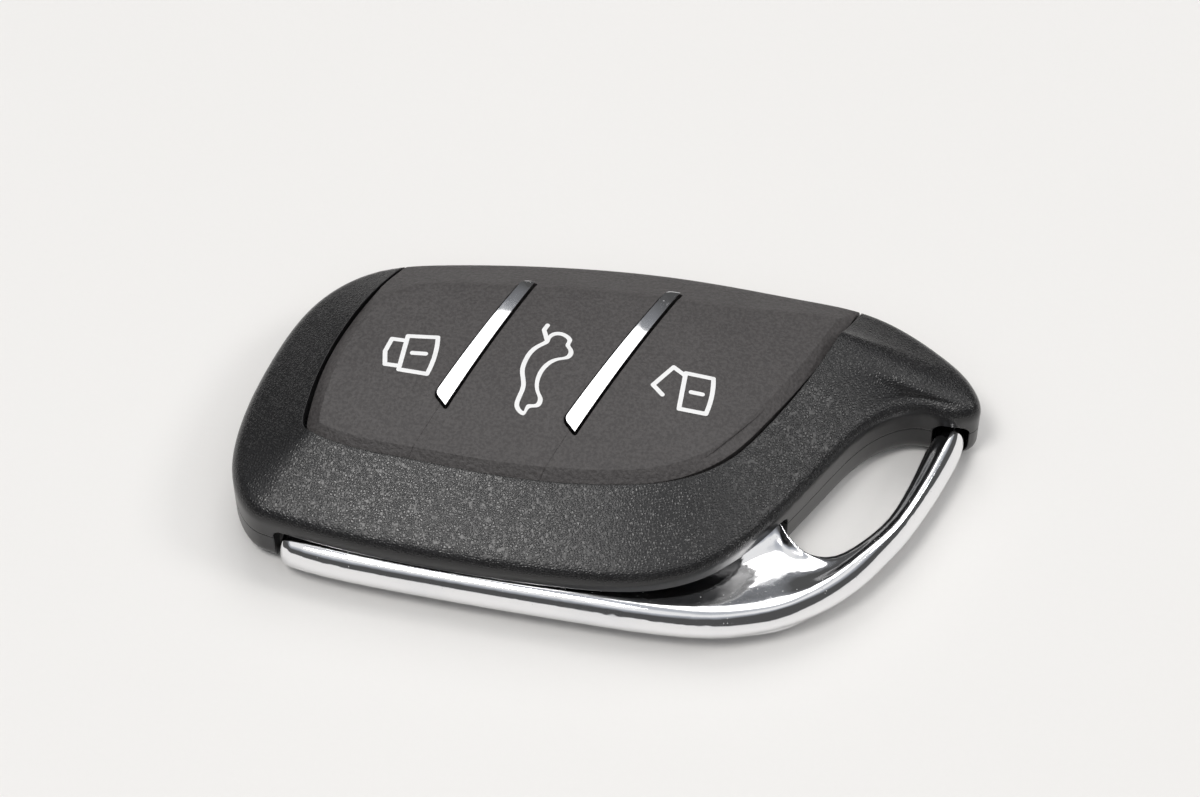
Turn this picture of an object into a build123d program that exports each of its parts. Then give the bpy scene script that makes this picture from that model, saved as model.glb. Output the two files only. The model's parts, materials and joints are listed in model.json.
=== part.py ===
from build123d import *
import math
import os

# A keyless car key fob. Millimetres.
# Origin at the middle of the fob's box, on the plane that it rests on.
# +X runs towards the key-ring opening, +Y towards the side that the button panel wraps over, +Z up.

# Overall sizes
case_length = 77.3
case_width = 42.2
half_length = case_length / 2
half_width = case_width / 2

# Case heights
parting_height = 5.0
parting_gap = 0.10
rim_height = 12.6
crown_height = 13.2

# Case walls and edges. The side wall is upright, then it rolls over into the sloping band.
case_wall = 1.3
roof_wall = 1.2
floor_thickness = 1.2
wall_top_height = 7.3
roll_radius = 1.9
band_slope = 24.0
base_roll = 2.5

# Crown of the button panel: an arc across the fob, swung about an axis below it
crown_radius_along = 500.0
crown_radius_across = 70.0

# One running gap for pieces that only clear each other, and one overrun for all cuts
clearance = 0.30
fine_clearance = 0.05
overrun = 2.0

# Button panel
groove_gap = 0.35
seam_gap = 0.06
cap_underside_height = 10.2
flange_wall = 1.4
flange_bottom_height = 7.1
lip_height = 6.6
bevel_width = 1.3
bevel_depth = 0.9
bevel_steps = 48
button_travel = 0.30

# Skirt round the opening and the plate under the buttons
skirt_wall = 1.0
carrier_thickness = 0.7
carrier_top_height = 9.6
carrier_gap = 0.6
stem_radius = 1.2
stem_hole_radius = 1.6
stem_gap = 0.02

# Divider strips
strip_width = 1.30
strip_rise = 0.35
strip_bottom_height = 9.9
strip_corner_radius = 0.9
slot_gap = 0.25
rib_width = 1.0

# White symbols
symbol_stroke = 0.50
symbol_depth = 0.30
lock_symbol_size = 6.0
boot_symbol_size = 11.0

# Polished frame
frame_bottom_height = 1.7
frame_height = 4.6
frame_bar_radius = 1.7
frame_bar_limit_share = 0.42
pocket_height = 6.45
pocket_corner_radius = 1.0
socket_width = 3.9
socket_height = 5.2
socket_corner_radius = 1.5
socket_middle_height = 3.95
socket_depth = 4.5

# Circuit board and the pieces on it
board_bottom_height = 5.5
board_thickness = 0.8
board_edge_gap = 1.4
switch_size = 3.6
switch_height = 1.4
switch_wall = 0.45
plunger_radius = 0.9
plunger_rise = 0.3
plunger_length = 0.75

# Pieces on the board
controller_size = 6.0
controller_height = 0.9
transmitter_size = 4.0
transmitter_height = 0.8
crystal_length = 3.2
crystal_width = 2.5
crystal_height = 0.7
capacitor_length = 1.6
capacitor_width = 0.8
capacitor_height = 0.8
transponder_length = 8.0
transponder_width = 3.0
transponder_height = 1.4
coil_size = 8.5
coil_height = 1.8
coil_groove = 0.6

# Coin cell, size 2032
cell_radius = 10.0
cell_thickness = 3.2
cell_rim_radius = 8.9
cell_rim_step = 0.25
cell_wall = 0.8
cell_wall_height = 2.9
contact_thickness = 0.25
contact_width = 5.0

# Emergency key. Its flat blade lies above the floor, beside the coin cell.
blade_length = 44.0
blade_width = 6.8
blade_thickness = 2.0
blade_tip = 2.0
blade_groove_width = 1.6
blade_groove_depth = 0.4
blade_hold = 1.2
head_width = 8.4
head_bottom_height = 1.0
head_top_height = 4.0
head_clearance = 0.15
nail_groove_height = 0.7
nail_groove_depth = 0.5
guide_wall = 0.8
guide_root = floor_thickness / 2
guide_height = 2.6

# Leaf spring that holds the emergency key by friction
leaf_thickness = 0.20
leaf_height = 1.6
leaf_span = 8.0
leaf_rise = 0.9
leaf_gap = 0.03
leaf_post_radius = 0.7

# Small fixings
screw_radius = 0.8
screw_head_radius = 1.4
screw_head_height = 0.7
screw_cross_length = 1.8
screw_cross_width = 0.4
screw_cross_depth = 0.35
board_screw_length = 3.4
frame_screw_length = 3.6
frame_screw_rise = 1.5
spotface_depth = 0.25
boss_radius = 2.0
seal_width = 0.9
seal_height = 0.65

# Outline of the case at the parting line, as shares of half the length and half the width.
# It starts at the near left corner and goes round the near side, the key-ring opening, the horn,
# the far side and the left end.
outline_shares = [
    (-0.869, -0.846), (-0.621, -0.903), (-0.310, -0.922), (0.000, -0.903), (0.207, -0.841),
    (0.349, -0.704), (0.466, -0.467), (0.530, -0.282), (0.626, 0.036), (0.740, 0.320),
    (0.841, 0.405), (0.947, 0.400), (0.996, 0.462), (0.978, 0.585), (0.876, 0.762),
    (0.728, 0.903), (0.466, 0.980), (0.103, 0.999), (-0.259, 0.945), (-0.565, 0.848),
    (-0.752, 0.732), (-0.876, 0.520), (-0.965, 0.100), (-0.999, -0.372), (-0.968, -0.671),
]

# The line round the button panel that each outline point rises to
rim_shares = [
    (-0.750, -0.419), (-0.582, -0.467), (-0.310, -0.481), (-0.039, -0.448), (0.142, -0.382),
    (0.259, -0.258), (0.331, -0.116), (0.383, 0.017), (0.445, 0.206), (0.499, 0.386),
    (0.533, 0.500), (0.559, 0.585), (0.569, 0.633), (0.564, 0.671), (0.533, 0.694),
    (0.453, 0.690), (0.298, 0.652), (0.052, 0.642), (-0.220, 0.614), (-0.466, 0.557),
    (-0.595, 0.491), (-0.686, 0.339), (-0.745, 0.031), (-0.776, -0.254), (-0.776, -0.382),
]

# Middle of the horn that its outline points close in on; the other points close in on the rim line
spine_shares = {
    9: (0.660, 0.500), 10: (0.800, 0.600), 11: (0.915, 0.560), 12: (0.890, 0.575),
    13: (0.880, 0.580), 14: (0.820, 0.610),
}

# Steps up the side wall, round the roll and up the band
wall_steps = 4
roll_steps = 6
band_steps = 8

# Inner end of the horn, which is solid from there to its tip
horn_wall_share = 0.79

# Opening for the buttons: it runs out over the far side at both ends
opening_shares = [
    (-0.621, 1.019), (-0.730, 0.493), (-0.805, -0.033), (-0.811, -0.294), (-0.799, -0.393),
    (-0.755, -0.436), (-0.517, -0.488), (-0.246, -0.500), (0.000, -0.464), (0.233, -0.346),
    (0.342, -0.199), (0.440, 0.066), (0.541, 0.450), (0.621, 0.886), (0.647, 1.066),
]
opening_far_share = 1.2

# Back line of the pocket that the polished frame sits in, from its left tip to its beak
pocket_back_shares = [
    (-0.836, -0.768), (-0.616, -0.763), (-0.310, -0.777), (0.000, -0.758), (0.181, -0.697),
    (0.313, -0.564), (0.411, -0.351), (0.484, -0.242),
]
pocket_outside_shares = [(0.548, -0.300), (0.700, -0.500), (0.700, -1.200), (-0.836, -1.200)]

# Polished frame: its outer line and its inner line from the left tip round to the horn, with the
# heights of its ridge, of the dish behind it and of its inner edge as shares of the frame's height
frame_shares = [
    (-0.818, -0.886, -0.812, -0.839, 0.64, 0.64, 0.60),
    (-0.784, -0.948, -0.792, -0.796, 0.88, 0.88, 0.86),
    (-0.621, -0.985, -0.618, -0.787, 0.94, 0.95, 0.94),
    (-0.310, -0.999, -0.310, -0.803, 0.95, 0.96, 0.95),
    (0.000, -0.999, -0.010, -0.787, 0.95, 0.95, 0.95),
    (0.220, -0.991, 0.186, -0.725, 0.93, 0.88, 0.96),
    (0.388, -0.957, 0.321, -0.597, 0.90, 0.78, 0.98),
    (0.512, -0.884, 0.409, -0.436, 0.88, 0.70, 1.00),
    (0.574, -0.829, 0.489, -0.294, 0.88, 0.66, 1.04),
    (0.626, -0.768, 0.536, -0.365, 0.90, 0.68, 0.92),
    (0.693, -0.668, 0.595, -0.429, 0.93, 0.75, 0.72),
    (0.758, -0.536, 0.665, -0.412, 0.97, 0.82, 0.56),
    (0.812, -0.384, 0.727, -0.313, 1.00, 0.86, 0.46),
    (0.864, -0.209, 0.789, -0.152, 1.00, 0.86, 0.46),
    (0.918, 0.038, 0.828, 0.057, 1.00, 0.86, 0.46),
    (0.957, 0.265, 0.859, 0.284, 1.00, 0.86, 0.46),
    (0.966, 0.400, 0.884, 0.405, 0.98, 0.85, 0.46),
    (0.955, 0.531, 0.896, 0.531, 0.86, 0.78, 0.46),
]

# Sections made between two stations of the frame
frame_steps = 3

# Ends of the two divider strips on their right-hand edges, near end then far end
strip_shares = [((-0.433, -0.164), (-0.282, 0.709)), ((-0.070, -0.204), (0.122, 0.797))]

# Middles of the three buttons, under which their switches lie
button_middle_shares = {"lock": (-0.568, 0.121), "boot": (-0.194, 0.125), "unlock": (0.207, 0.148)}

# Closed padlock: body, shackle and keyhole dash, as shares of its size from the button's middle.
# The symbols stand upright for someone who holds the fob with its key-ring end towards them.
lock_body_shares = [(-0.117, 0.383), (0.417, 0.442), (0.45, 0.033), (0.40, -0.383), (-0.117, -0.367)]
lock_line_shares = [
    [(-0.117, 0.275), (-0.383, 0.275), (-0.442, -0.017), (-0.383, -0.292), (-0.117, -0.292)],
    [(0.042, 0.025), (0.283, 0.045)],
]

# Open padlock, in the same way
unlock_body_shares = [
    (-0.112, 0.398), (0.387, 0.375), (0.425, -0.017), (0.39, -0.405), (-0.093, -0.392),
]
unlock_line_shares = [
    [(-0.135, 0.353), (-0.345, 0.485), (-0.63, 0.022), (-0.433, -0.153)],
    [(0.052, 0.002), (0.258, -0.007)],
]

# Car with its boot lid raised, seen from the side
boot_body_shares = [
    (-0.031, 0.405), (0.055, 0.498), (0.143, 0.473), (0.176, 0.427), (0.168, 0.378),
    (0.209, 0.313), (0.200, 0.227), (0.117, 0.185), (0.002, -0.247), (0.035, -0.308),
    (0.018, -0.391), (-0.062, -0.421), (-0.087, -0.497), (-0.155, -0.455), (-0.173, -0.373),
    (-0.154, -0.190), (-0.199, -0.020), (-0.195, 0.109), (-0.127, 0.282), (-0.055, 0.355),
]
boot_line_shares = [[(-0.074, 0.582), (-0.095, 0.517), (-0.045, 0.403)]]

# Middle of the coin cell, the line of the emergency key and the face between its head and the case
cell_middle_share = (-0.207, -0.223)
key_line_share = 0.445
head_face_share = -0.789
leaf_middle_share = 0.21

# Screws: the board's by their middles, the frame's by their stations on the pocket's back line
board_screw_shares = [(-0.725, -0.43), (0.18, -0.38), (0.42, 0.20)]
frame_screw_stations = (1, 3)

# Middles of the pieces on the board
controller_share = (-0.36, -0.40)
transmitter_share = (0.04, -0.30)
crystal_share = (-0.12, -0.50)
transponder_share = (-0.70, 0.42)
coil_share = (0.50, 0.47)
capacitor_shares = [(-0.50, -0.25), (-0.50, -0.40), (-0.22, -0.28), (0.02, 0.42), (0.10, 0.42)]


def across(share_pair):
    """A place in the plan from shares of half the length and half the width."""
    return Vector(share_pair[0] * half_length, share_pair[1] * half_width)


outline_points = [across(pair) for pair in outline_shares]
rim_points = [across(pair) for pair in rim_shares]


def inward_directions():
    """Unit directions in which the outline's points close in."""
    directions = []
    for index, (outer, rim) in enumerate(zip(outline_points, rim_points)):
        target = across(spine_shares[index]) if index in spine_shares else rim
        directions.append((target - outer).normalized())
    return directions


def ring_places():
    """Shares of the outline's length at its points, so that all rings divide alike."""
    reached = [0.0]
    for index, point in enumerate(outline_points):
        after = outline_points[(index + 1) % len(outline_points)]
        reached.append(reached[-1] + (after - point).length)
    return [length / reached[-1] for length in reached]


inward = inward_directions()
ring_parameters = ring_places()


roll_turn = math.radians(90 - band_slope)
roll_reach = roll_radius * (1 - math.cos(roll_turn))
roll_top_height = wall_top_height + roll_radius * math.sin(roll_turn)


def case_ring(inset, share, height):
    """Closed curve round the case, moved in from the outline.

    The share says how far up the band it lies, from the end of the roll to the rim line.
    """
    points = []
    for outer, rim, direction in zip(outline_points, rim_points, inward):
        place = outer + direction * inset + (rim - outer - direction * roll_reach) * share
        points.append(Vector(place.X, place.Y, height))
    return Wire([Edge.make_spline(points, periodic=True, parameters=ring_parameters)])


def upper_body(wall=0.0, drop=0.0, start=0.0):
    """Solid under the domed upper surface, moved in by a wall and down by a drop."""
    rings = []
    if start:
        for step in range(wall_steps):
            below = start * (1 - step / wall_steps)
            rings.append(case_ring(wall, 0.0, parting_height - drop - below))
    for step in range(wall_steps):
        height = parting_height + (wall_top_height - parting_height) * step / wall_steps
        rings.append(case_ring(wall, 0.0, height - drop))
    for step in range(roll_steps):
        angle = roll_turn * step / roll_steps
        inset = roll_radius * (1 - math.cos(angle))
        height = wall_top_height + roll_radius * math.sin(angle)
        rings.append(case_ring(inset + wall, 0.0, height - drop))
    for step in range(band_steps + 1):
        share = step / band_steps
        height = roll_top_height + (rim_height - roll_top_height) * share
        rings.append(case_ring(roll_reach + wall, share, height - drop))
    return Solid.make_loft(rings)


def rim_column():
    """Upright column inside the rim line, above the rim."""
    ring = case_ring(roll_reach, 1.0, rim_height)
    return extrude(make_face(ring.edges()), crown_height + overrun - rim_height)


def lower_body(wall=0.0, lift=0.0, extra=0.0):
    """Solid of the lower half, moved in by a wall and lifted off the floor."""
    places = []
    for step in range(roll_steps):
        angle = math.pi / 2 * step / roll_steps
        places.append((base_roll * (1 - math.sin(angle)), base_roll * (1 - math.cos(angle))))
    for step in range(wall_steps + 1):
        places.append((0.0, base_roll + (parting_height - base_roll) * step / wall_steps))
    rings = []
    for inset, height in places:
        lifted = lift + height * (parting_height - lift) / parting_height
        rings.append(case_ring(inset + wall, 0.0, lifted))
    if extra:
        for step in range(wall_steps):
            rings.append(case_ring(wall, 0.0, parting_height + extra * (step + 1) / wall_steps))
    return Solid.make_loft(rings)


def crown_body(lift=0.0):
    """Solid under the crowned top of the button panel, lifted by a little."""
    top = crown_height + lift
    reach = opening_far_share * half_width + overrun
    side = top - crown_radius_across + math.sqrt(crown_radius_across ** 2 - reach ** 2)
    arc = ThreePointArc((0, -reach, side), (0, 0, top), (0, reach, side))
    base = Polyline((0, reach, side), (0, reach, 0), (0, -reach, 0), (0, -reach, side))
    axis = Axis((0, 0, top - crown_radius_along), (0, 1, 0))
    profile = Face(Wire([arc] + list(base.edges())))
    swing = 2 * math.degrees(math.asin(half_length / crown_radius_along))
    return revolve(profile, axis=axis, revolution_arc=swing).rotate(axis, -swing / 2)


def prism(face, low, high):
    """Solid over a flat face, from one height to another."""
    return extrude(Pos(0, 0, low) * face, high - low)


def plate(x_low, x_high, y_low, y_high, z_low, z_high):
    """Block between its lowest and highest corners."""
    block = Box(x_high - x_low, y_high - y_low, z_high - z_low, align=(Align.MIN,) * 3)
    return Pos(x_low, y_low, z_low) * block


def disc(radius, x, y, low, high):
    """Upright cylinder."""
    return Pos(x, y, low) * Cylinder(radius, high - low, align=(Align.CENTER, Align.CENTER, Align.MIN))


def moved(points, distance, closed=False):
    """Points of a line, each moved sideways, to the left of its direction."""
    last = len(points) - 1
    result = []
    for index, point in enumerate(points):
        before = points[index - 1] if closed or index else point
        after = points[(index + 1) % len(points)] if closed or index < last else point
        along = (after - before).normalized()
        result.append(point + Vector(-along.Y, along.X) * distance)
    return result


def opening_face(inset=0.0):
    """Plan of the opening in the upper shell, drawn in or out, as one smooth edge and a far box."""
    points = moved([across(pair) for pair in opening_shares], inset)
    far = opening_far_share * half_width - inset
    closing = Polyline(points[-1], (points[-1].X, far), (points[0].X, far), points[0])
    return make_face([Spline(*points)] + list(closing.edges()))


def pocket_face(grown=0.0):
    """Plan of the space that the polished frame takes, grown on the case's side."""
    line = [across(pair) for pair in pocket_back_shares]
    outside = [across(pair) for pair in pocket_outside_shares]
    points = moved(line, grown)
    step = (line[-1] - line[-2]).normalized() * grown
    beak = [points[-1] + step, outside[0] + step]
    tip = [Vector(outside[-1].X - grown, outside[-1].Y), Vector(outside[-1].X - grown, points[0].Y)]
    corners = beak + outside[1:-1] + tip
    if not grown:
        corners = outside
    closing = Polyline(points[-1], *corners, points[0])
    return make_face([Spline(*points)] + list(closing.edges()))


def frame_pocket(low, high):
    """Space for the polished frame, with its upper corners rounded at both ends."""
    space = prism(pocket_face(), low, high)
    beak = (across(pocket_back_shares[-1]) + across(pocket_outside_shares[0])) / 2
    tip = across(pocket_back_shares[0])
    chosen = []
    for edge in space.edges().filter_by(GeomType.LINE):
        middle = edge.center()
        at_top = abs(middle.Z - high) < fine_clearance
        at_tip = abs(middle.X - tip.X) < fine_clearance
        at_beak = abs(middle.X - beak.X) < fine_clearance and abs(middle.Y - beak.Y) < fine_clearance
        if at_top and (at_tip or at_beak):
            chosen.append(edge)
    return fillet(chosen, pocket_corner_radius)


def horn_socket():
    """Rounded hole in the horn's near face for the end of the polished frame."""
    outer = across(frame_shares[-1][0:2])
    inner = across(frame_shares[-1][2:4])
    middle = (outer + inner) / 2
    mouth = RectangleRounded(socket_width, socket_height, socket_corner_radius)
    hole = extrude(Plane.XZ * mouth, -(socket_depth + clearance))
    return Pos(middle.X, middle.Y - socket_depth, socket_middle_height) * hole


def cavity_plan(gap=0.0):
    """Plan of the space inside the case walls, drawn in by a gap."""
    ring = case_ring(case_wall + gap, 0.0, 0.0)
    behind = pocket_face(case_wall + gap)
    horn = Pos(horn_wall_share * half_length - gap + half_length) * Rectangle(case_length, case_width)
    return make_face(ring.edges()) - behind - horn


def strip_line(index):
    """Near and far tips of a divider strip's right-hand edge."""
    near, far = strip_shares[index]
    return across(near), across(far)


def strip_face(index):
    """Plan of a divider strip: two pointed tips on its right, rounded on its left."""
    near, far = strip_line(index)
    along = (far - near).normalized()
    shift = strip_width / along.Y
    points = [near, far, Vector(far.X - shift, far.Y), Vector(near.X - shift, near.Y + shift)]
    outline = make_face(Polyline(*points, close=True).edges())
    corners = [vertex for vertex in outline.vertices() if vertex.X < far.X - shift / 2]
    rounded = [vertex for vertex in corners if (Vector(vertex) - near).length > shift / 2]
    return fillet(rounded, strip_corner_radius)


def seam_face(index):
    """Hairline joint between two buttons, along the middle of a divider strip and beyond it."""
    near, far = strip_line(index)
    along = (far - near).normalized()
    middle = (near + far) / 2 - Vector(strip_width / along.Y / 2, 0)
    angle = math.degrees(math.atan2(along.Y, along.X))
    return Pos(middle.X, middle.Y) * Rot(0, 0, angle) * Rectangle(case_length, seam_gap)


def symbol_point(middle, share_pair, size):
    """A place on a symbol, from shares of its size."""
    return middle + Vector(share_pair[0], share_pair[1]) * size


def stroke_face(points):
    """Line with round ends and joints through a list of points."""
    faces = []
    for start, end in zip(points, points[1:]):
        along = end - start
        middle = (start + end) / 2
        angle = math.degrees(math.atan2(along.Y, along.X))
        bar = SlotCenterToCenter(along.length, symbol_stroke)
        faces.append(Pos(middle.X, middle.Y) * Rot(0, 0, angle) * bar)
    return faces[0].fuse(*faces[1:]) if len(faces) > 1 else faces[0]


def symbol_face(button):
    """Plan of the white symbol on a button."""
    middle = across(button_middle_shares[button])
    body_shares, line_shares, size = {
        "lock": (lock_body_shares, lock_line_shares, lock_symbol_size),
        "boot": (boot_body_shares, boot_line_shares, boot_symbol_size),
        "unlock": (unlock_body_shares, unlock_line_shares, lock_symbol_size),
    }[button]
    body = [symbol_point(middle, pair, size) for pair in body_shares]
    half = symbol_stroke / 2
    if button == "boot":
        around, within = (moved(body, side, closed=True) for side in (half, -half))
        face = make_face([Spline(*around, periodic=True)]) - make_face([Spline(*within, periodic=True)])
    else:
        side = ThreePointArc(body[1], body[2], body[3])
        rest = Polyline(body[3], body[4], body[0], body[1])
        outline = make_face([side] + list(rest.edges()))
        face = offset(outline, half) - offset(outline, -half)
    for line in line_shares:
        face = face + stroke_face([symbol_point(middle, pair, size) for pair in line])
    return face


def everywhere(low, high):
    """Slab as wide as the whole fob, from one height to another."""
    return plate(-case_length, case_length, -case_width, case_width, low, high)


def inside_horn_wall(low, high):
    """Slab that stops at the inner end of the horn."""
    return plate(-case_length, horn_wall_share * half_length, -case_width, case_width, low, high)


def smooth_row(rows, place):
    """Row at a place along a table, on a smooth curve through all its rows."""
    start = min(int(place), len(rows) - 2)
    share = place - start
    last = len(rows) - 1
    nearby = [rows[max(0, min(start + step, last))] for step in (-1, 0, 1, 2)]
    row = []
    for before, first, second, after in zip(*nearby):
        leaving = (second - before) / 2
        arriving = (after - first) / 2
        bend = 2 * (first - second) + leaving + arriving
        pull = 3 * (second - first) - 2 * leaving - arriving
        row.append(first + share * (leaving + share * (pull + share * bend)))
    return row


def frame_section(place):
    """Closed section of the polished frame between its outer and inner lines."""
    row = smooth_row(frame_shares, place)
    outer = across(row[0:2])
    inner = across(row[2:4])
    ridge, dish, lip = (frame_height * share for share in row[4:7])
    bar = min(frame_bar_radius / (inner - outer).length, frame_bar_limit_share)
    web = 1 - bar
    places = [
        (0.00, ridge * 0.46), (bar * 0.12, ridge * 0.68), (bar * 0.48, ridge * 0.90),
        (bar, ridge), (bar + web * 0.24, ridge * 0.5 + dish * 0.5), (bar + web * 0.58, dish),
        (bar + web * 0.84, dish * 0.62 + lip * 0.38), (0.975, lip * 0.98),
        (1.00, lip * 0.55), (0.94, frame_height * 0.06), (0.60, 0.0), (bar * 0.8, 0.0),
        (bar * 0.22, ridge * 0.17),
    ]
    points = []
    for share, height in places:
        point = outer + (inner - outer) * share
        points.append(Vector(point.X, point.Y, frame_bottom_height + height))
    even = [index / len(points) for index in range(len(points) + 1)]
    return Wire([Edge.make_spline(points, periodic=True, parameters=even)])


def make_chrome_frame():
    """Polished frame: near strip, dished corner and key-ring bar in one piece."""
    count = (len(frame_shares) - 1) * frame_steps
    sections = [frame_section(index / frame_steps) for index in range(count + 1)]
    return Solid.make_loft(sections, ruled=True)


outer_top = upper_body()
panel_crown = crown_body()
opening = opening_face()


def make_upper_shell():
    """Upper cover: domed band round the buttons, skirt under the rim, far lip below the buttons."""
    lowered = outer_top.moved(Location((0, 0, -roof_wall)))
    walls = prism(cavity_plan(), parting_height - overrun, crown_height)
    shell = outer_top - (lowered & walls & inside_horn_wall(0, crown_height))
    shell = shell + (prism(opening_face(-skirt_wall), carrier_top_height, crown_height) & outer_top)
    shell = shell - prism(opening, lip_height, crown_height + overrun)
    shell = shell - everywhere(0, parting_height + parting_gap / 2)
    shell = shell - frame_pocket(parting_height - overrun, pocket_height)
    return shell - horn_socket()


def key_slot():
    """Hole in the left end of the lower shell for the emergency key's head."""
    line = key_line_share * half_width
    half = head_width / 2 + head_clearance
    face = head_face_share * half_length
    low = head_bottom_height - head_clearance
    high = head_top_height + head_clearance
    return plate(-case_length, face, line - half, line + half, low, high)


def blade_box(gap=0.0):
    """Block round the emergency key's blade."""
    line = key_line_share * half_width
    half = blade_width / 2 + gap
    face = head_face_share * half_length
    middle = (head_bottom_height + head_top_height) / 2
    low = middle - blade_thickness / 2 - gap
    high = middle + blade_thickness / 2 + gap
    return plate(face - blade_hold, face + blade_length + gap, line - half, line + half, low, high)


def make_key_guides():
    """Bulkhead behind the key's head and the two ribs that the blade slides between."""
    line = key_line_share * half_width
    face = head_face_share * half_length
    half = head_width / 2 + head_clearance
    top = floor_thickness + guide_height
    bulkhead = plate(
        face + head_clearance, face + head_clearance + guide_wall,
        line - half - guide_wall, line + half + guide_wall, guide_root, top,
    )
    side = blade_width / 2 + head_clearance
    end = face + blade_length
    far_rib = plate(face, end, line + side, line + side + guide_wall, guide_root, top)
    near_rib = plate(face, end, line - side - guide_wall, line - side, guide_root, top)
    cell = across(cell_middle_share)
    room = disc(cell_radius + clearance, cell.X, cell.Y, 0, parting_height)
    leaf = leaf_middle_share * half_length
    window = plate(
        leaf - leaf_span / 2 - clearance, leaf + leaf_span / 2 + clearance,
        line - head_width, line, 0, parting_height,
    )
    return (bulkhead + far_rib + (near_rib - room - window)) - blade_box(head_clearance)


def leaf_ends():
    """The two ends of the leaf spring, beside the key's blade."""
    middle = leaf_middle_share * half_length
    edge = key_line_share * half_width - blade_width / 2 - leaf_gap
    low = edge - leaf_rise
    return Vector(middle - leaf_span / 2, low), Vector(middle, edge), Vector(middle + leaf_span / 2, low)


def make_lower_shell():
    """Lower half: floor, walls, key guides, cell wall, screw bosses and spring posts."""
    pocket = pocket_face()
    pocket_wall = prism(pocket_face(case_wall), -overrun, crown_height)
    cavity = lower_body(case_wall, floor_thickness, overrun) & inside_horn_wall(0, crown_height)
    shell = lower_body() - (cavity - pocket_wall)
    cell = across(cell_middle_share)
    room = cell_radius + clearance
    wall_top = floor_thickness + cell_wall_height
    wall = disc(room + cell_wall, cell.X, cell.Y, floor_thickness, wall_top)
    wall = wall - disc(room, cell.X, cell.Y, floor_thickness, wall_top)
    shell = shell + make_key_guides() + (wall - blade_box(clearance) - contact_path(clearance))
    for pair in board_screw_shares:
        place = across(pair)
        shell = shell + disc(boss_radius, place.X, place.Y, floor_thickness, board_bottom_height)
        bore = board_bottom_height + board_thickness - board_screw_length - clearance
        shell = shell - disc(screw_radius + fine_clearance, place.X, place.Y, bore, crown_height)
    for end in (leaf_ends()[0], leaf_ends()[2]):
        reach = leaf_post_radius + fine_clearance + leaf_thickness
        post_top = floor_thickness + guide_height
        shell = shell + disc(leaf_post_radius, end.X, end.Y - reach, floor_thickness, post_top)
    shell = shell - prism(pocket, -overrun, crown_height) - everywhere(
        parting_height - parting_gap / 2, board_bottom_height
    )
    for station in frame_screw_stations:
        shell = shell - frame_screw_space(station)
    return shell - horn_socket() - key_slot() - blade_box(head_clearance)


def contact_path(gap=0.0):
    """Room of the strip under the coin cell, from its middle out past the cell's wall."""
    cell = across(cell_middle_share)
    half = contact_width / 2 + gap
    out = cell.X + cell_radius + clearance + cell_wall + clearance
    return plate(
        cell.X - half, out + contact_thickness + gap, cell.Y - half, cell.Y + half,
        floor_thickness, floor_thickness + contact_thickness + gap,
    )


def crown_level(point):
    """Height of the crowned top over a place in the plan."""
    across_arc = math.sqrt(crown_radius_across ** 2 - point.Y ** 2)
    radius = crown_radius_along - crown_radius_across + across_arc
    return crown_height - crown_radius_along + math.sqrt(radius ** 2 - point.X ** 2)


def bevel_cutter():
    """Wedge that takes the edge off the button panel, all along the groove."""
    edge = opening_face(groove_gap).edges().filter_by(GeomType.BSPLINE)[0]
    slope = bevel_depth / bevel_width
    sections = []
    for step in range(bevel_steps + 1):
        point = edge.position_at(step / bevel_steps)
        along = edge.tangent_at(step / bevel_steps)
        side = Vector(-along.Y, along.X)
        outside = point - side * groove_gap
        inside = point + side * bevel_width
        low = crown_level(point) - bevel_depth - slope * groove_gap
        corners = [
            Vector(outside.X, outside.Y, low),
            Vector(inside.X, inside.Y, crown_level(inside)),
            Vector(inside.X, inside.Y, crown_level(inside) + bevel_depth),
            Vector(outside.X, outside.Y, crown_level(inside) + bevel_depth),
        ]
        sections.append(Wire(Polyline(*corners, close=True).edges()))
    return Solid.make_loft(sections, ruled=True)


def make_panel():
    """Button panel in one piece, before it is parted: bevelled top, open underside, far flange."""
    block = prism(opening_face(groove_gap), flange_bottom_height, crown_height + overrun) & panel_crown
    block = block - bevel_cutter()
    block = block & (outer_top + rim_column())
    hollow = upper_body(flange_wall, roof_wall, overrun) & everywhere(0, cap_underside_height)
    return block - hollow


def make_strips():
    """The two divider strips, proud of the buttons."""
    raised = upper_body(-strip_rise, -strip_rise) + rim_column()
    strips = []
    for index in range(len(strip_shares)):
        strip = prism(strip_face(index), strip_bottom_height, crown_height + overrun)
        strips.append(strip & crown_body(strip_rise) & raised)
    return strips


def make_buttons():
    """Three button caps, parted under the strips, and the white symbols let into their tops."""
    panel = make_panel()
    for index in range(len(strip_shares)):
        slot = offset(strip_face(index), slot_gap)
        panel = panel - prism(slot, flange_bottom_height, crown_height + overrun)
        panel = panel - prism(seam_face(index), flange_bottom_height, crown_height + overrun)
    caps = panel.solids().sort_by(Axis.X)
    below_symbols = crown_body(-symbol_depth)
    made = {}
    for button, cap in zip(button_middle_shares, caps):
        symbol = prism(symbol_face(button), cap_underside_height, crown_height + overrun)
        symbol = (symbol & cap) - below_symbols
        middle = across(button_middle_shares[button])
        foot = board_bottom_height + board_thickness + switch_height + plunger_rise + stem_gap
        stem = disc(stem_radius, middle.X, middle.Y, foot, cap_underside_height)
        made[f"{button}_button"] = (cap - symbol) + stem
        made[f"{button}_symbol"] = symbol
    return made


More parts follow.
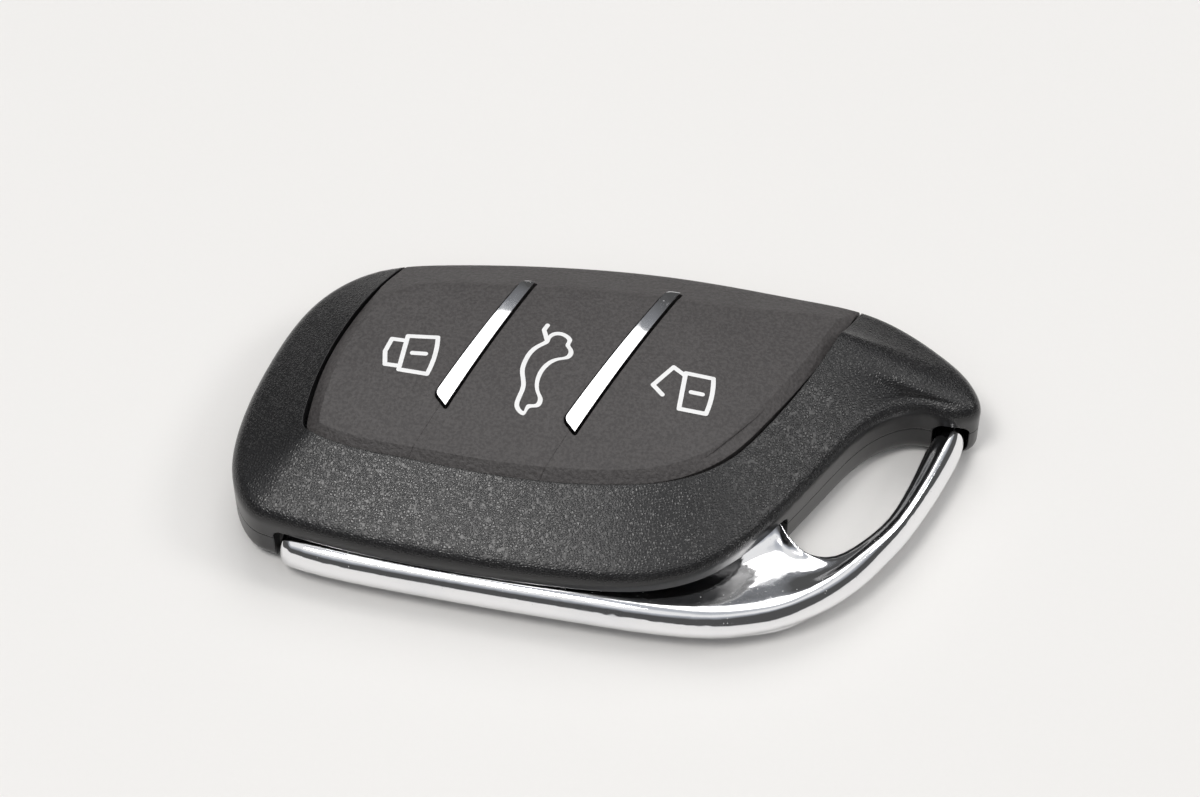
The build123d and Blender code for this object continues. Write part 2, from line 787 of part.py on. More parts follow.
def make_carrier():
    """Plate under the buttons, with guide holes for their stems and a rib under each strip."""
    bottom = carrier_top_height - carrier_thickness
    room = upper_body(flange_wall + carrier_gap, roof_wall + carrier_gap, overrun)
    plan = opening_face(-skirt_wall)
    carrier = prism(plan, bottom, carrier_top_height) & room
    for index in range(len(strip_shares)):
        near, far = strip_line(index)
        along = (far - near).normalized()
        middle = (near + far) / 2 - Vector(strip_width / along.Y / 2, 0)
        angle = math.degrees(math.atan2(along.Y, along.X))
        length = (far - near).length - strip_width / along.Y - rib_width
        rib = Pos(middle.X, middle.Y) * Rot(0, 0, angle) * SlotOverall(length, rib_width)
        carrier = carrier + prism(rib, bottom, strip_bottom_height)
    for pair in button_middle_shares.values():
        middle = across(pair)
        carrier = carrier - disc(stem_hole_radius, middle.X, middle.Y, bottom, strip_bottom_height)
    return carrier


board_top_height = board_bottom_height + board_thickness


def make_board():
    """Circuit board with its screw holes."""
    board = prism(cavity_plan(board_edge_gap), board_bottom_height, board_top_height)
    for pair in board_screw_shares:
        place = across(pair)
        board = board - disc(screw_radius + fine_clearance, place.X, place.Y, 0, crown_height)
    return board


def on_board(share_pair, length, width, height):
    """Block that stands on the circuit board."""
    place = across(share_pair)
    return plate(
        place.X - length / 2, place.X + length / 2, place.Y - width / 2, place.Y + width / 2,
        board_top_height, board_top_height + height,
    )


def make_switches():
    """A tact switch and its plunger under each button."""
    made = {}
    for button, pair in button_middle_shares.items():
        middle = across(pair)
        body = on_board(pair, switch_size, switch_size, switch_height)
        top = board_top_height + switch_height
        foot = top + plunger_rise - plunger_length
        bore_bottom = foot - button_travel - fine_clearance * 2
        bore = disc(plunger_radius + fine_clearance, middle.X, middle.Y, bore_bottom, crown_height)
        made[f"{button}_switch"] = chamfer(body.edges().filter_by(Axis.Z), switch_wall) - bore
        made[f"{button}_plunger"] = disc(plunger_radius, middle.X, middle.Y, foot, top + plunger_rise)
    return made


def make_board_pieces():
    """Chips, crystal, capacitors and aerial coil on the board."""
    coil = on_board(coil_share, coil_size, coil_size, coil_height)
    place = across(coil_share)
    core = coil_size / 2 - coil_groove
    low = board_top_height + coil_height * 0.25
    band = plate(
        place.X - coil_size, place.X + coil_size, place.Y - coil_size, place.Y + coil_size,
        low, low + coil_height / 2,
    )
    waist = plate(place.X - core, place.X + core, place.Y - core, place.Y + core, 0, crown_height)
    capacitors = [
        on_board(pair, capacitor_length, capacitor_width, capacitor_height)
        for pair in capacitor_shares
    ]
    return {
        "controller_chip": on_board(
            controller_share, controller_size, controller_size, controller_height
        ),
        "transmitter_chip": on_board(
            transmitter_share, transmitter_size, transmitter_size, transmitter_height
        ),
        "crystal": on_board(crystal_share, crystal_length, crystal_width, crystal_height),
        "transponder_chip": on_board(
            transponder_share, transponder_length, transponder_width, transponder_height
        ),
        "low_frequency_coil": coil - (band - waist),
        "board_capacitors": Compound(capacitors),
    }


def make_coin_cell():
    """Coin cell with the step round its negative pole, which faces the floor."""
    middle = across(cell_middle_share)
    low = floor_thickness + contact_thickness
    top = low + cell_thickness
    can = disc(cell_radius, middle.X, middle.Y, low + cell_rim_step, top)
    return can + disc(cell_rim_radius, middle.X, middle.Y, low, low + cell_rim_step)


def make_contacts():
    """Sprung strips on the two poles of the cell, each with a leg up to the board."""
    middle = across(cell_middle_share)
    half = contact_width / 2
    lower = contact_path()
    box = lower.bounding_box()
    leg = plate(
        box.max.X - contact_thickness, box.max.X, middle.Y - half, middle.Y + half,
        floor_thickness, board_bottom_height,
    )
    low = floor_thickness + contact_thickness + cell_thickness
    left = middle.X - cell_radius - clearance
    upper = plate(
        left, middle.X + half, middle.Y - half, middle.Y + half, low, low + contact_thickness
    )
    post = plate(
        left, left + contact_thickness, middle.Y - half, middle.Y + half, low, board_bottom_height
    )
    return lower + leg, upper + post


def make_seal():
    """Gasket inside the walls, across the parting line."""
    low = parting_height - seal_height / 2
    high = parting_height + seal_height / 2
    outer = prism(cavity_plan(fine_clearance), low, high)
    return outer - prism(cavity_plan(fine_clearance + seal_width), low, high)


def screw(length):
    """Screw with a cross recess, pointing down, with the underside of its head at the origin."""
    head = disc(screw_head_radius, 0, 0, 0, screw_head_height)
    shank = disc(screw_radius, 0, 0, -length, 0)
    top = screw_head_height
    bottom = top - screw_cross_depth
    long = screw_cross_length / 2
    thin = screw_cross_width / 2
    cross = plate(-long, long, -thin, thin, bottom, top) + plate(-thin, thin, -long, long, bottom, top)
    return head + shank - cross


def frame_screw_seat(station):
    """Frame screw's place: the axis lies along -Y, with the head inside the case."""
    back = across(pocket_back_shares[station])
    height = frame_bottom_height + frame_screw_rise
    return Pos(back.X, back.Y + case_wall - spotface_depth, height) * Rot(90, 0, 0)


def frame_screw_space(station):
    """Hole and flat seat for a frame screw in the lower shell's near wall."""
    hole = disc(screw_radius + fine_clearance, 0, 0, -frame_screw_length, screw_head_height)
    seat = disc(screw_head_radius + fine_clearance, 0, 0, 0, screw_head_height)
    return frame_screw_seat(station) * Rot(180, 0, 0) * (hole + seat)


def make_screws():
    """The board's screws and the polished frame's screws."""
    board = [
        Pos(across(pair).X, across(pair).Y, board_top_height) * screw(board_screw_length)
        for pair in board_screw_shares
    ]
    frame = [
        frame_screw_seat(station) * Rot(180, 0, 0) * screw(frame_screw_length)
        for station in frame_screw_stations
    ]
    return Compound(board), Compound(frame)


def make_emergency_key():
    """Flat key blade with milled grooves, and the head that fills the slot at the left end."""
    blade = blade_box()
    box = blade.bounding_box()
    tip = blade.edges().filter_by(Axis.Z).sort_by(Axis.X)[-2:]
    blade = chamfer(tip, blade_tip)
    line = key_line_share * half_width
    half = blade_groove_width / 2
    start = box.min.X + blade_hold + head_width / 2
    for low, high in (
        (box.max.Z - blade_groove_depth, box.max.Z), (box.min.Z, box.min.Z + blade_groove_depth)
    ):
        blade = blade - plate(start, box.max.X, line - half, line + half, low, high)
    room = head_width / 2
    face = head_face_share * half_length
    band = plate(-case_length, face, line - room, line + room, head_bottom_height, head_top_height)
    head = lower_body() & band
    middle = (head_bottom_height + head_top_height) / 2
    half = nail_groove_height / 2
    groove = plate(
        -case_length, face, line - case_width, line + case_width, middle - half, middle + half
    )
    head = head - (groove - lower_body(nail_groove_depth))
    return blade, head - blade_box()


def make_leaf():
    """Arched leaf spring between its posts and the key's blade."""
    left, crest, right = leaf_ends()
    step = Vector(0, leaf_thickness)
    front = ThreePointArc(left, crest, right)
    back = ThreePointArc(right - step, crest - step, left - step)
    sides = [Line(right, right - step), Line(left - step, left)]
    low = (head_bottom_height + head_top_height) / 2 - leaf_height / 2
    return prism(make_face([front, back] + sides), low, low + leaf_height)


parts = {"upper_shell": make_upper_shell(), "lower_shell": make_lower_shell()}
parts.update(make_buttons())
parts["button_carrier"] = make_carrier()
parts["divider_strip_left"], parts["divider_strip_right"] = make_strips()
parts["circuit_board"] = make_board()
parts.update(make_switches())
parts.update(make_board_pieces())
parts["coin_cell"] = make_coin_cell()
parts["battery_contact_negative"], parts["battery_contact_positive"] = make_contacts()
parts["case_seal"] = make_seal()
parts["board_screws"], parts["frame_screws"] = make_screws()
parts["chrome_frame"] = make_chrome_frame()
for frame_station in frame_screw_stations:
    parts["chrome_frame"] = parts["chrome_frame"] - frame_screw_space(frame_station)
parts["emergency_key_blade"], parts["emergency_key_head"] = make_emergency_key()
parts["key_leaf_spring"] = make_leaf()

os.makedirs("parts", exist_ok=True)
for name, solid in parts.items():
    export_step(solid, f"parts/{name}.step")
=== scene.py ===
import json
import math

import bpy
from mathutils import Matrix, Vector

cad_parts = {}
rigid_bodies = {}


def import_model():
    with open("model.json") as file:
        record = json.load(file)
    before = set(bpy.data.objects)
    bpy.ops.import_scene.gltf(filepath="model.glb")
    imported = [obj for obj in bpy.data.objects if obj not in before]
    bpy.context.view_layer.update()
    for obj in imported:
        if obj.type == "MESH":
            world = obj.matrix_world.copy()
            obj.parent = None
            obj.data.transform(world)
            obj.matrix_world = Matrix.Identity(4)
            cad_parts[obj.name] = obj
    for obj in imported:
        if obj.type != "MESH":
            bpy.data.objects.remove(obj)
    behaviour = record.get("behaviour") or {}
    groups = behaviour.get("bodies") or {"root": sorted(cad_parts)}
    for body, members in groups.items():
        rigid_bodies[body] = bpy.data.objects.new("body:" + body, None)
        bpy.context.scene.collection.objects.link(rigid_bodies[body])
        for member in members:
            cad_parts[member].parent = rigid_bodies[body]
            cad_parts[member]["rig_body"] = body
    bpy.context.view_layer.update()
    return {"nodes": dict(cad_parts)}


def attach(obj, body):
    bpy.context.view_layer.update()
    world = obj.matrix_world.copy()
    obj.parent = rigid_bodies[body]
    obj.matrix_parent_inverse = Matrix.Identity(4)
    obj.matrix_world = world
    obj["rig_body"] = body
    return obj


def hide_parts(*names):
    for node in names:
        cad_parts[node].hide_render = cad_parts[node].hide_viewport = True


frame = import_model()
bpy.ops.object.select_all(action="DESELECT")

# Back half of the case: a black moulded tray that carries everything inside. Its side wall is smooth
# satin plastic, and what faces up or down has the mould's leather-like grain.
# The tray is one moulding, so one welded skin stands for it.
millimetre = 0.001
weld_gap = 0.002 * millimetre
case_black = (0.0115, 0.0112, 0.0118)
case_worn = (0.032, 0.031, 0.032)
case_cell = 0.31 * millimetre
case_cell_height = 0.028 * millimetre
case_edge = 0.22 * millimetre
case_sharp_degrees = 30.0


class Value:
    """A number, colour or vector inside a finish. Python's operators add Math nodes to it."""

    def __init__(self, finish, socket):
        self.finish = finish
        self.socket = socket

    def maths(self, operation, first, second):
        return self.finish.node("Math", {"operation": operation}, {0: first, 1: second})

    def __add__(self, other):
        return self.maths("ADD", self, other)

    def __radd__(self, other):
        return self.maths("ADD", other, self)

    def __sub__(self, other):
        return self.maths("SUBTRACT", self, other)

    def __rsub__(self, other):
        return self.maths("SUBTRACT", other, self)

    def __mul__(self, other):
        return self.maths("MULTIPLY", self, other)

    def __rmul__(self, other):
        return self.maths("MULTIPLY", other, self)

    def between(self, low, high):
        """0 at low and 1 at high, smooth in between and flat outside."""
        settings = {"interpolation_type": "SMOOTHSTEP"}
        return self.finish.node("MapRange", settings, {0: self, 1: low, 2: high, 3: 0.0, 4: 1.0})


class Finish:
    """The nodes of one material, or of the room round the fob, all made by its node method."""

    def __init__(self, owner):
        self.owner = owner
        owner.use_nodes = True
        self.tree = owner.node_tree
        self.tree.nodes.clear()
        self.place = self.node("TexCoord", output="Object")

    def node(self, kind, settings=None, sockets=None, output=0):
        made = self.tree.nodes.new("ShaderNode" + kind)
        for name, value in (settings or {}).items():
            if name == "stops":
                while len(made.color_ramp.elements) < len(value):
                    made.color_ramp.elements.new(1.0)
                for stop, (share, colour) in zip(made.color_ramp.elements, value):
                    stop.position = share
                    stop.color = (*colour, 1.0)
            else:
                setattr(made, name, value)
        for name, value in (sockets or {}).items():
            socket = made.inputs[name]
            if isinstance(value, Value):
                self.tree.links.new(value.socket, socket)
            elif isinstance(value, tuple) and len(value) == 3 and socket.type == "RGBA":
                socket.default_value = (*value, 1.0)
            else:
                socket.default_value = value
        return Value(self, made.outputs[output] if made.outputs else None)

    def noise(self, size, detail=2.0, roughness=0.5, where=None):
        sockets = {"Vector": where or self.place, "Scale": 1.0 / size}
        sockets.update({"Detail": detail, "Roughness": roughness})
        return self.node("TexNoise", {}, sockets)

    def cells(self, size, feature, where=None, output="Distance"):
        sockets = {"Vector": where or self.place, "Scale": 1.0 / size}
        return self.node("TexVoronoi", {"feature": feature}, sockets, output)

    def stretched(self, across, turn):
        """The place squeezed by that factor across X, which draws a noise out into lines along X."""
        scale = (1.0, across, across)
        return self.node("Mapping", {}, {"Vector": self.place, "Scale": scale, "Rotation": (0.0, 0.0, turn)})

    def wobbled(self, size, amount):
        """The place, pushed about by a noise of that size, so that a pattern loses its straight lines."""
        push = self.node("TexNoise", {}, {"Vector": self.place, "Scale": 1.0 / size, "Detail": 2.0}, "Color")
        centred = self.node("VectorMath", {"operation": "SUBTRACT"}, {0: push, 1: (0.5, 0.5, 0.5)})
        scaled = self.node("VectorMath", {"operation": "SCALE"}, {0: centred, "Scale": amount})
        return self.node("VectorMath", {"operation": "ADD"}, {0: self.place, 1: scaled})

    def mix(self, share, first, second):
        return self.node("Mix", {"data_type": "RGBA"}, {0: share, 6: first, 7: second}, output=2)

    def upward(self):
        """The height of the surface's own direction: 1 where it faces up."""
        direction = self.node("TexCoord", output="Normal")
        return self.node("SeparateXYZ", {}, {0: direction}, output="Z")

    def rounded(self, radius):
        return self.node("Bevel", {"samples": 6}, {"Radius": radius})

    def edge(self, rounded):
        """1 along the piece's edges and 0 on its faces."""
        flat = self.node("NewGeometry", output="Normal")
        alike = self.node("VectorMath", {"operation": "DOT_PRODUCT"}, {0: rounded, 1: flat}, output="Value")
        return (1.0 - alike).between(0.01, 0.20)

    def bump(self, height, depth, strength, under=None):
        sockets = {"Height": height, "Distance": depth, "Strength": strength}
        if under is not None:
            sockets["Normal"] = under
        return self.node("Bump", {}, sockets)

    def done(self, **sockets):
        """Ends the finish in one Principled surface. A socket's name is written with _ for each space."""
        named = {name.replace("_", " "): value for name, value in sockets.items()}
        surface = self.node("BsdfPrincipled", {}, named)
        self.node("OutputMaterial", {}, {"Surface": surface})
        return self.owner


def moulded_case():
    """Satin black plastic with small raised cells where it faces up or down, rubbed paler at its edges."""
    finish = Finish(bpy.data.materials.new("case_plastic"))
    rounded = finish.rounded(case_edge)
    edge = finish.edge(rounded)
    top = finish.upward().between(0.20, 0.50)
    wobbled = finish.wobbled(1.8 * case_cell, 0.6 * case_cell)
    cell = finish.cells(case_cell, "DISTANCE_TO_EDGE", wobbled).between(0.0, 0.34)
    pores = finish.noise(0.12 * millimetre, 3.0)
    cloud = finish.noise(9.0 * millimetre, 3.0)
    height = (cell + pores * 0.15) * top + pores * 0.08
    rubbed = edge * finish.noise(2.2 * millimetre, 4.0).between(0.35, 0.75)
    colour = finish.mix(rubbed * 0.55 + cloud.between(0.45, 0.8) * 0.15, case_black, case_worn)
    roughness = 0.27 + cloud * 0.06 - rubbed * 0.04 - cell * top * 0.04
    return finish.done(
        Base_Color=colour, Roughness=roughness, IOR=1.49,
        Normal=finish.bump(height, case_cell_height, 0.8, rounded),
    )


def pick(piece):
    """Makes one piece the only one that is selected."""
    bpy.ops.object.select_all(action="DESELECT")
    piece.select_set(True)
    bpy.context.view_layer.objects.active = piece


def painted(piece, material):
    piece.data.materials.clear()
    piece.data.materials.append(material)


def skin(node, name, material, sharp_degrees):
    """A welded, smooth copy of a CAD node, which then stands for it."""
    source = frame["nodes"][node]
    piece = bpy.data.objects.new(name, source.data.copy())
    bpy.context.collection.objects.link(piece)
    pick(piece)
    if piece.data.has_custom_normals:
        bpy.ops.mesh.customdata_custom_splitnormals_clear()
    bpy.ops.object.mode_set(mode="EDIT")
    bpy.ops.mesh.select_all(action="SELECT")
    bpy.ops.mesh.remove_doubles(threshold=weld_gap)
    bpy.ops.object.mode_set(mode="OBJECT")
    bpy.ops.object.shade_smooth_by_angle(angle=math.radians(sharp_degrees))
    painted(piece, material)
    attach(piece, source["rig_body"])
    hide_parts(node)
    return piece


def evened(piece):
    """Lets the large faces of a piece set its shading, so that they look flat right up to an edge."""
    pick(piece)
    weighted = piece.modifiers.new("weighted", "WEIGHTED_NORMAL")
    weighted.keep_sharp = True
    bpy.ops.object.modifier_apply(modifier=weighted.name)


case_finish = moulded_case()
back_half = skin("lower_shell", "case_back", case_finish, case_sharp_degrees)
evened(back_half)

# Circuit board: a green laminate cut to the case, with tinned pads, and the chips, crystal,
# capacitors, wake-up coil and transponder soldered on it. Copper tracks show through the mask as
# slightly paler lines.
board_green = (0.010, 0.085, 0.035)
track_green = (0.030, 0.170, 0.075)
tracks_per_metre = 420.0
track_length_share = 0.9
track_pitch_share = 0.42
track_line_share = 0.045
resin_black = (0.018, 0.018, 0.019)
resin_pale = (0.035, 0.035, 0.036)
ceramic_brown = (0.32, 0.21, 0.13)
solder_grey = (0.62, 0.62, 0.60)


def solder_mask():
    """Green lacquer over a woven board, with the tracks as raised, paler lines."""
    finish = Finish(bpy.data.materials.new("board_laminate"))
    tracks = finish.node(
        "TexBrick", {"offset": 0.35, "offset_frequency": 3},
        {"Vector": finish.place, "Scale": tracks_per_metre, "Mortar Size": track_line_share,
         "Brick Width": track_length_share, "Row Height": track_pitch_share}, output="Fac",
    )
    weave = finish.noise(0.5 * millimetre, 2.0)
    return finish.done(
        Base_Color=finish.mix(tracks * 0.8 + weave * 0.15, board_green, track_green),
        Roughness=0.24 + weave * 0.12,
        Normal=finish.bump(tracks + weave * 0.2, 0.02 * millimetre, 0.5),
    )


def chip_resin():
    """Black moulding resin, matt, with a very fine grain."""
    finish = Finish(bpy.data.materials.new("chip_resin"))
    grain = finish.noise(0.10 * millimetre, 3.0)
    cloud = finish.noise(1.5 * millimetre)
    return finish.done(
        Base_Color=finish.mix(cloud * 0.5, resin_black, resin_pale),
        Roughness=0.45 + grain * 0.15,
        Normal=finish.bump(grain, 0.01 * millimetre, 0.6),
    )


def fired_ceramic():
    """Brown ceramic with the grey of tin on it."""
    finish = Finish(bpy.data.materials.new("capacitor_ceramic"))
    grain = finish.noise(0.2 * millimetre, 3.0)
    return finish.done(
        Base_Color=finish.mix(grain, ceramic_brown, solder_grey),
        Roughness=0.40 + grain * 0.2,
        Normal=finish.bump(grain, 0.01 * millimetre, 0.5),
    )


def metal(name, colour, shade, roughness, line_size):
    """Rolled or drawn metal: fine lines along the fob, and faint stains."""
    finish = Finish(bpy.data.materials.new(name))
    long_way = finish.stretched(14.0, 0.0)
    lines = finish.noise(line_size, 3.0, 0.6, long_way)
    stain = finish.noise(3.0 * millimetre, 3.0)
    return finish.done(
        Base_Color=finish.mix(stain.between(0.35, 0.75), colour, shade),
        Metallic=1.0,
        Roughness=roughness + lines * 0.18 + stain * 0.06,
        Normal=finish.bump(lines, 0.006 * millimetre, 0.5),
    )


board_finish = solder_mask()
resin_finish = chip_resin()
switch_finish = metal("switch_metal", (0.62, 0.62, 0.61), (0.48, 0.48, 0.47), 0.22, 1.2 * millimetre)
painted(frame["nodes"]["circuit_board"], board_finish)
painted(frame["nodes"]["crystal"], switch_finish)
painted(frame["nodes"]["board_capacitors"], fired_ceramic())
for node in ("controller_chip", "transmitter_chip", "transponder_chip", "low_frequency_coil"):
    painted(frame["nodes"][node], resin_finish)

# Push switches: three small metal boxes on the board, each with a plastic plunger in its top that
# the button's stem presses. The plungers are the same dark nylon as the carrier under the buttons.
nylon_grey = (0.070, 0.070, 0.074)
nylon_pale = (0.095, 0.095, 0.099)


def moulded_nylon():
    """Dark grey nylon, with faint marks from its flow into the mould."""
    finish = Finish(bpy.data.materials.new("inner_plastic"))
    grain = finish.noise(0.25 * millimetre, 3.0)
    flow = finish.noise(6.0 * millimetre, 2.0)
    return finish.done(
        Base_Color=finish.mix(flow.between(0.4, 0.7) * 0.6, nylon_grey, nylon_pale),
        Roughness=0.42 + grain * 0.16,
        Normal=finish.bump(grain, 0.012 * millimetre, 0.6),
    )


nylon_finish = moulded_nylon()
for button in ("lock", "boot", "unlock"):
    painted(frame["nodes"][f"{button}_switch"], switch_finish)
    painted(frame["nodes"][f"{button}_plunger"], nylon_finish)

# Coin cell: a nickel-plated steel can of size 2032 with a rolled rim, held between two sprung
# contacts that are stamped from strip and plated.
painted(
    frame["nodes"]["coin_cell"],
    metal("cell_steel", (0.70, 0.70, 0.68), (0.58, 0.58, 0.56), 0.20, 1.5 * millimetre),
)
spring_finish = metal("spring_steel", (0.60, 0.58, 0.52), (0.50, 0.47, 0.40), 0.24, 1.0 * millimetre)
for node in ("battery_contact_negative", "battery_contact_positive", "key_leaf_spring"):
    painted(frame["nodes"][node], spring_finish)

# Seal and screws: a soft black gasket in the parting joint, and small zinc-plated screws that hold
# the board and the polished frame.
rubber_black = (0.016, 0.016, 0.016)
rubber_bloom = (0.032, 0.031, 0.030)


def soft_rubber():
    """Black rubber, matt, with a paler bloom in places."""
    finish = Finish(bpy.data.materials.new("seal_rubber"))
    grain = finish.noise(0.3 * millimetre, 4.0)
    bloom = finish.noise(5.0 * millimetre)
    return finish.done(
        Base_Color=finish.mix(bloom.between(0.4, 0.8), rubber_black, rubber_bloom),
        Roughness=0.62 + grain * 0.2,
        Normal=finish.bump(grain, 0.02 * millimetre, 0.5),
    )


painted(frame["nodes"]["case_seal"], soft_rubber())
zinc_finish = metal("screw_steel", (0.42, 0.42, 0.43), (0.33, 0.33, 0.34), 0.28, 0.8 * millimetre)
for node in ("board_screws", "frame_screws"):
    painted(frame["nodes"][node], zinc_finish)

# Emergency key: a milled, nickel-plated blade in a black moulded head that closes the left end of
# the case. It slides out along the fob.
painted(
    frame["nodes"]["emergency_key_blade"],
    metal("key_steel", (0.66, 0.65, 0.62), (0.52, 0.50, 0.46), 0.20, 2.0 * millimetre),
)
key_head = skin("emergency_key_head", "key_head", case_finish, case_sharp_degrees)
evened(key_head)

# Polished frame: a zinc casting along the near side, with a dished gusset and a bar round the
# key-ring opening, polished and bright plated. The plate is smooth, with dust in the dish and
# hair-fine rubbing marks from keys.
frame_voxel = 0.15 * millimetre
frame_smoothing_share = 0.5
frame_smoothing_rounds = 5
frame_sharp_degrees = 180.0
plate_bright = (0.88, 0.88, 0.89)
plate_dull = (0.72, 0.74, 0.78)
dust_grey = (0.42, 0.42, 0.41)


def bright_plate():
    """Mirror-bright plate, smeared by hands, with fine rubs and specks of dust where it faces up."""
    finish = Finish(bpy.data.materials.new("polished_trim"))
    smear = finish.noise(7.0 * millimetre, 4.0, 0.6)
    rubs = finish.noise(0.9 * millimetre, 2.0, 0.6, finish.stretched(11.0, 0.5))
    scratched = rubs.between(0.66, 0.74) * smear.between(0.45, 0.65)
    speck = 1.0 - finish.cells(0.45 * millimetre, "F1").between(0.10, 0.19)
    patch = finish.noise(2.5 * millimetre, 3.0).between(0.50, 0.66)
    dusty = speck * patch * finish.upward().between(0.3, 0.8)
    ripple = finish.noise(2.0 * millimetre)
    colour = finish.mix(smear.between(0.4, 0.8) * 0.35, plate_bright, plate_dull)
    return finish.done(
        Base_Color=finish.mix(dusty, colour, dust_grey),
        Metallic=1.0 - dusty * 0.9,
        Roughness=0.055 + smear.between(0.4, 0.8) * 0.07 + scratched * 0.16 + dusty * 0.5,
        Normal=finish.bump(ripple - scratched * 0.25 + dusty, 0.008 * millimetre, 0.35),
    )


plate_finish = bright_plate()
polished = skin("chrome_frame", "polished_frame", plate_finish, frame_sharp_degrees)
pick(polished)
remesh = polished.modifiers.new("remesh", "REMESH")
remesh.mode = "VOXEL"
remesh.voxel_size = frame_voxel
remesh.use_smooth_shade = True
bpy.ops.object.modifier_apply(modifier=remesh.name)
smooth = polished.modifiers.new("smooth", "SMOOTH")
smooth.factor = frame_smoothing_share
smooth.iterations = frame_smoothing_rounds
bpy.ops.object.modifier_apply(modifier=smooth.name)
painted(polished, plate_finish)

# Cover: the grained upper half of the case, with the rim round the buttons, and under them the
# nylon carrier that guides their stems.
cover = skin("upper_shell", "case_cover", case_finish, case_sharp_degrees)
evened(cover)
painted(frame["nodes"]["button_carrier"], nylon_finish)

# Buttons: three caps of one soft-touch skin, matt and a little warmer than the case, with a fine
# grain. The symbols are printed in white and sit in the skin.
skin_grey = (0.044, 0.040, 0.040)
skin_pale = (0.092, 0.086, 0.085)
skin_grain = 0.34 * millimetre
skin_grain_height = 0.090 * millimetre
skin_edge = 0.15 * millimetre
print_white = (0.86, 0.86, 0.86)
print_worn = (0.70, 0.70, 0.69)


def soft_touch():
    """Warm dark grey rubber paint with a fine speckle, paler along its edges."""
    finish = Finish(bpy.data.materials.new("button_skin"))
    rounded = finish.rounded(skin_edge)
    edge = finish.edge(rounded)
    grain = finish.noise(skin_grain, 3.0, 0.6)
    pits = finish.cells(1.6 * skin_grain, "SMOOTH_F1")
    cloud = finish.noise(8.0 * millimetre, 3.0)
    shine = finish.noise(14.0 * millimetre, 2.0).between(0.42, 0.62)
    colour = finish.mix(cloud * 0.3 + grain.between(0.35, 0.65) * 0.6 + edge * 0.2, skin_grey, skin_pale)
    return finish.done(
        Base_Color=colour,
        Roughness=0.50 + grain * 0.12 - shine * 0.05,
        IOR=1.45,
        Normal=finish.bump(grain + pits * 0.5, skin_grain_height, 0.9, rounded),
    )


def white_print():
    """White ink, a little greyer where it has worn."""
    finish = Finish(bpy.data.materials.new("symbol_print"))
    grain = finish.noise(0.12 * millimetre, 3.0)
    worn = finish.noise(1.2 * millimetre, 3.0)
    return finish.done(
        Base_Color=finish.mix(worn.between(0.45, 0.85) * 0.4, print_white, print_worn),
        Roughness=0.38 + grain * 0.15,
        Normal=finish.bump(grain, 0.006 * millimetre, 0.4),
    )


# The skin runs on from one cap to the next, so the caps' facing sides are brought almost together
# along the two lines that the divider strips lie on.
seam_closing = 0.028 * millimetre
seam_slack = 0.004 * millimetre
seam_facing_share = 0.9995
left_seam_side = Vector((0.953, -0.302, 0.0)).normalized()
right_seam_side = Vector((0.9435, -0.3315, 0.0)).normalized()
cap_seams = {
    "lock": (left_seam_side,), "boot": (-left_seam_side, right_seam_side), "unlock": (-right_seam_side,),
}


def close_seam(cap, side):
    """Moves the outermost upright face on one side of a cap outwards by the seam's closing."""
    facing = [face for face in cap.data.polygons if face.normal.dot(side) > seam_facing_share]
    corners = {index for face in facing for index in face.vertices}
    reach = max(cap.data.vertices[index].co.dot(side) for index in corners)
    for index in corners:
        corner = cap.data.vertices[index]
        if corner.co.dot(side) > reach - seam_slack:
            corner.co += side * seam_closing


skin_finish = soft_touch()
print_finish = white_print()
for button in ("lock", "boot", "unlock"):
    cap = skin(f"{button}_button", f"{button}_cap_skin", skin_finish, case_sharp_degrees)
    for side in cap_seams[button]:
        close_seam(cap, side)
    evened(cap)
    skin(f"{button}_symbol", f"{button}_print", print_finish, case_sharp_degrees)

# Divider strips: two slim polished slivers pressed into slots between the buttons. Their long edges
# are broken by a narrow bevel that catches the light.
strip_bevel = 0.13 * millimetre
strip_bevel_steps = 3
strip_bevel_degrees = 40.0
for side in ("left", "right"):
    strip = skin(
        f"divider_strip_{side}", f"divider_{side}", plate_finish, case_sharp_degrees,
    )
    pick(strip)
    bevel = strip.modifiers.new("bevel", "BEVEL")
    bevel.width = strip_bevel
    bevel.segments = strip_bevel_steps
    bevel.limit_method = "ANGLE"
    bevel.angle_limit = math.radians(strip_bevel_degrees)
    bpy.ops.object.modifier_apply(modifier=bevel.name)
    evened(strip)

# Table, lamps and camera: the fob lies on a sheet of off-white paper. The window lamp puts a sheen on
# the near slope, the side lamp lights the bevel at the right, and the broad ceiling lamp behind lights
# the top. The camera stands where the photograph's did.
table_size = 3.0
table_drop = 0.02 * millimetre
paper_white = (0.86, 0.85, 0.835)
paper_shade = (0.82, 0.805, 0.785)
lamp_colour = (1.0, 0.985, 0.965)
room_dark = (0.085, 0.085, 0.085)
room_high = (0.46, 0.48, 0.52)
room_band = (0.88, 0.88, 0.88)
camera_place = Vector((0.040607, -0.213277, 0.335938))
camera_right = Vector((0.981627, 0.190809, 0.0))
camera_up = Vector((-0.158188, 0.813806, 0.559193))
camera_lens = 111.0
camera_sensor = 36.0
camera_near = 10.0 * millimetre
fob_middle = Vector((0.0, 0.0, 6.0 * millimetre))


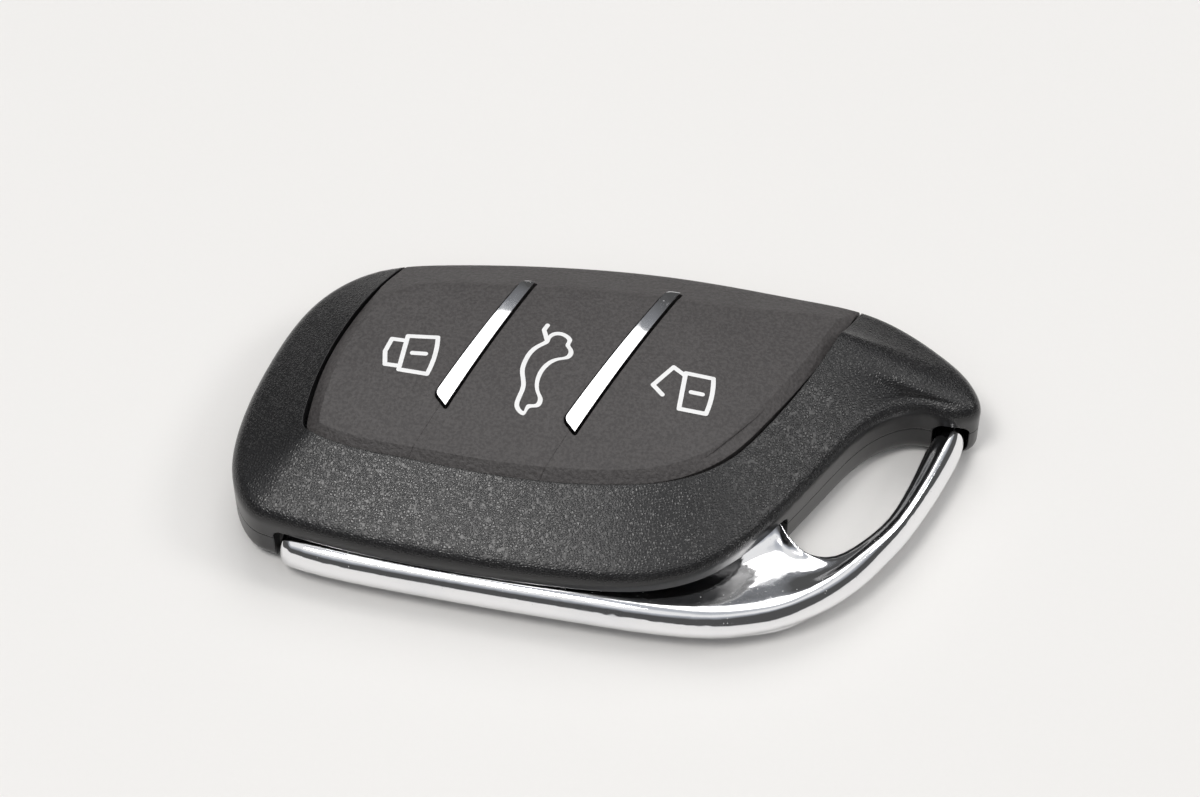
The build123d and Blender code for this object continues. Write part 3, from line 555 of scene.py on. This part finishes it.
def paper():
    """Off-white paper with fine fibres and a faint unevenness of tone."""
    finish = Finish(bpy.data.materials.new("table_paper"))
    fibre = finish.noise(0.6 * millimetre, 5.0, 0.65)
    cloud = finish.noise(60.0 * millimetre, 2.0)
    return finish.done(
        Base_Color=finish.mix(fibre * 0.35 + cloud * 0.3, paper_white, paper_shade),
        Roughness=0.85,
        Normal=finish.bump(fibre, 0.03 * millimetre, 0.4),
    )


bpy.ops.mesh.primitive_plane_add(size=table_size, location=(0.0, 0.0, -table_drop))
table = bpy.context.object
table.name = "table"
painted(table, paper())


def soft_lamp(name, place, size, power):
    """A square lamp with a soft edge that looks at the fob."""
    lamp = bpy.data.lights.new(name, "AREA")
    lamp.size = size
    lamp.energy = power
    lamp.color = lamp_colour
    holder = bpy.data.objects.new(name, lamp)
    holder.location = place
    holder.rotation_mode = "QUATERNION"
    holder.rotation_quaternion = (fob_middle - Vector(place)).to_track_quat("-Z", "Y")
    bpy.context.collection.objects.link(holder)


soft_lamp("window_lamp", (-0.15, -0.22, 0.70), 0.19, 2.0)
soft_lamp("side_lamp", (0.54, 0.12, 0.56), 0.22, 0.95)
soft_lamp("ceiling_lamp", (-0.06, 0.48, 0.70), 0.52, 1.45)


def room():
    """A plain studio: dark walls up to the lamps, and a paler ceiling over them."""
    world = bpy.data.worlds.new("room")
    bpy.context.scene.world = world
    finish = Finish(world)
    direction = finish.node("TexCoord", output="Generated")
    height = finish.node("SeparateXYZ", {}, {0: direction}, output="Z")
    stops = (
        (0.0, room_band), (0.05, room_dark), (0.50, room_dark), (0.72, room_high),
        (0.80, room_band), (0.93, room_band), (1.0, room_high),
    )
    colour = finish.node("ValToRGB", {"stops": stops}, {0: height})
    walls = finish.node("Background", {}, {"Color": colour})
    finish.node("OutputWorld", {}, {"Surface": walls})


room()

lens = bpy.data.cameras.new("camera")
lens.lens = camera_lens
lens.sensor_width = camera_sensor
lens.clip_start = camera_near
camera = bpy.data.objects.new("camera", lens)
bpy.context.collection.objects.link(camera)
camera.matrix_world = Matrix.Translation(camera_place) @ Matrix(
    (camera_right, camera_up, camera_right.cross(camera_up))
).transposed().to_4x4()
bpy.context.scene.camera = camera
bpy.context.scene.view_settings.view_transform = "Standard"
